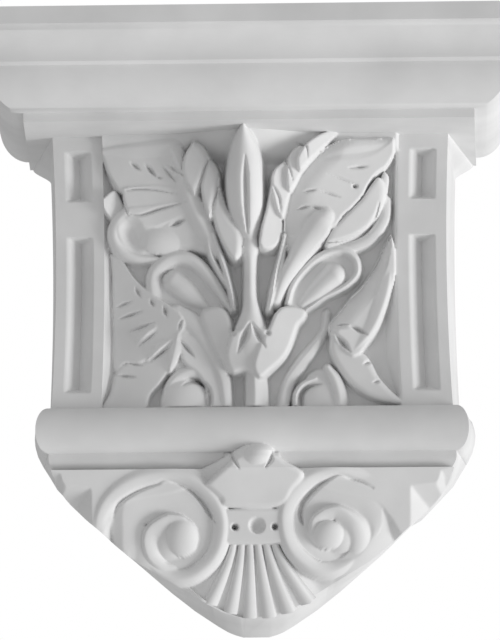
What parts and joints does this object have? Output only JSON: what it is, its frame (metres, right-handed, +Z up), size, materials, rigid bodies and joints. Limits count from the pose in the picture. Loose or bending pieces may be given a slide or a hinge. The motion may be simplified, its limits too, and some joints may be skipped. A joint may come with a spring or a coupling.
{
  "type": "corbel",
  "caption": "Plaster wall corbel with a mitred cornice, sunk pilasters, a panel of carved leaves, a half round roll and a pendant of volutes over a shell.",
  "frame": {"origin": "middle of the flat wall face, half way up the corbel's height and on its axis", "axes": "+Z up, +Y into the wall, so the corbel stands out towards -Y, and +X to the viewer's right"},
  "size_m": [0.2986, 0.1505, 0.29],
  "materials": {
    "plaster": "matt white cast gypsum plaster, unpainted"
  },
  "bodies": {
    "root": {"corbel": "plaster"}
  },
  "joints": []
}
